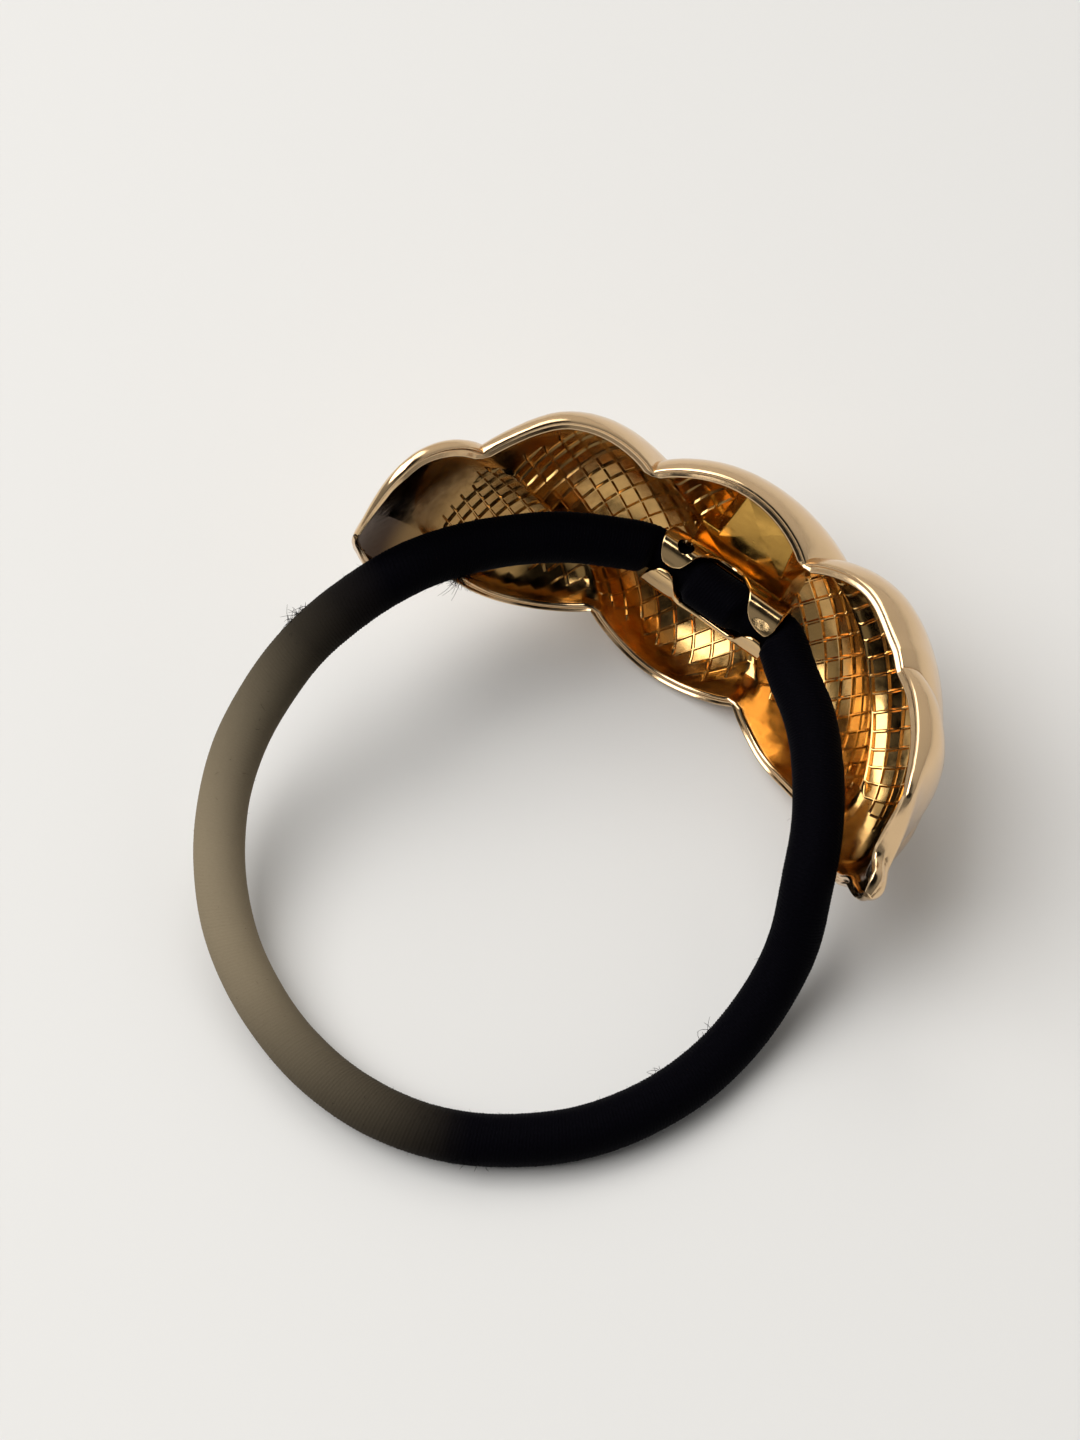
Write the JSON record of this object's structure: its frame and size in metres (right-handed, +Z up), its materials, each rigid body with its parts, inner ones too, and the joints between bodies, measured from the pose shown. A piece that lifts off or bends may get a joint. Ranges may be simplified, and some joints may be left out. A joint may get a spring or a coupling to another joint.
{
  "type": "metal cuff hair tie",
  "caption": "Polished C-shaped cuff with twisted rope lobes and a crosshatched hollow, crimped on a thick fabric-covered elastic ring that gathers a ponytail.",
  "frame": {"origin": "on the table, under the middle of the box round the metal cuff and its bridge", "axes": "+Z up from the table, +X along the cuff from its higher tip to its lower tip, +Y from the elastic ring towards the cuff"},
  "size_m": [0.0541, 0.0625, 0.0282],
  "materials": {
    "cuff_metal": "polished gold-tone plating",
    "bridge_metal": "polished gold-tone plating",
    "elastic": "black thread cover on a rubber core, faded on one stretch"
  },
  "bodies": {
    "root": {"cuff_shell": "cuff_metal", "crimp_bridge": "bridge_metal", "elastic_cord": "elastic"}
  },
  "joints": []
}
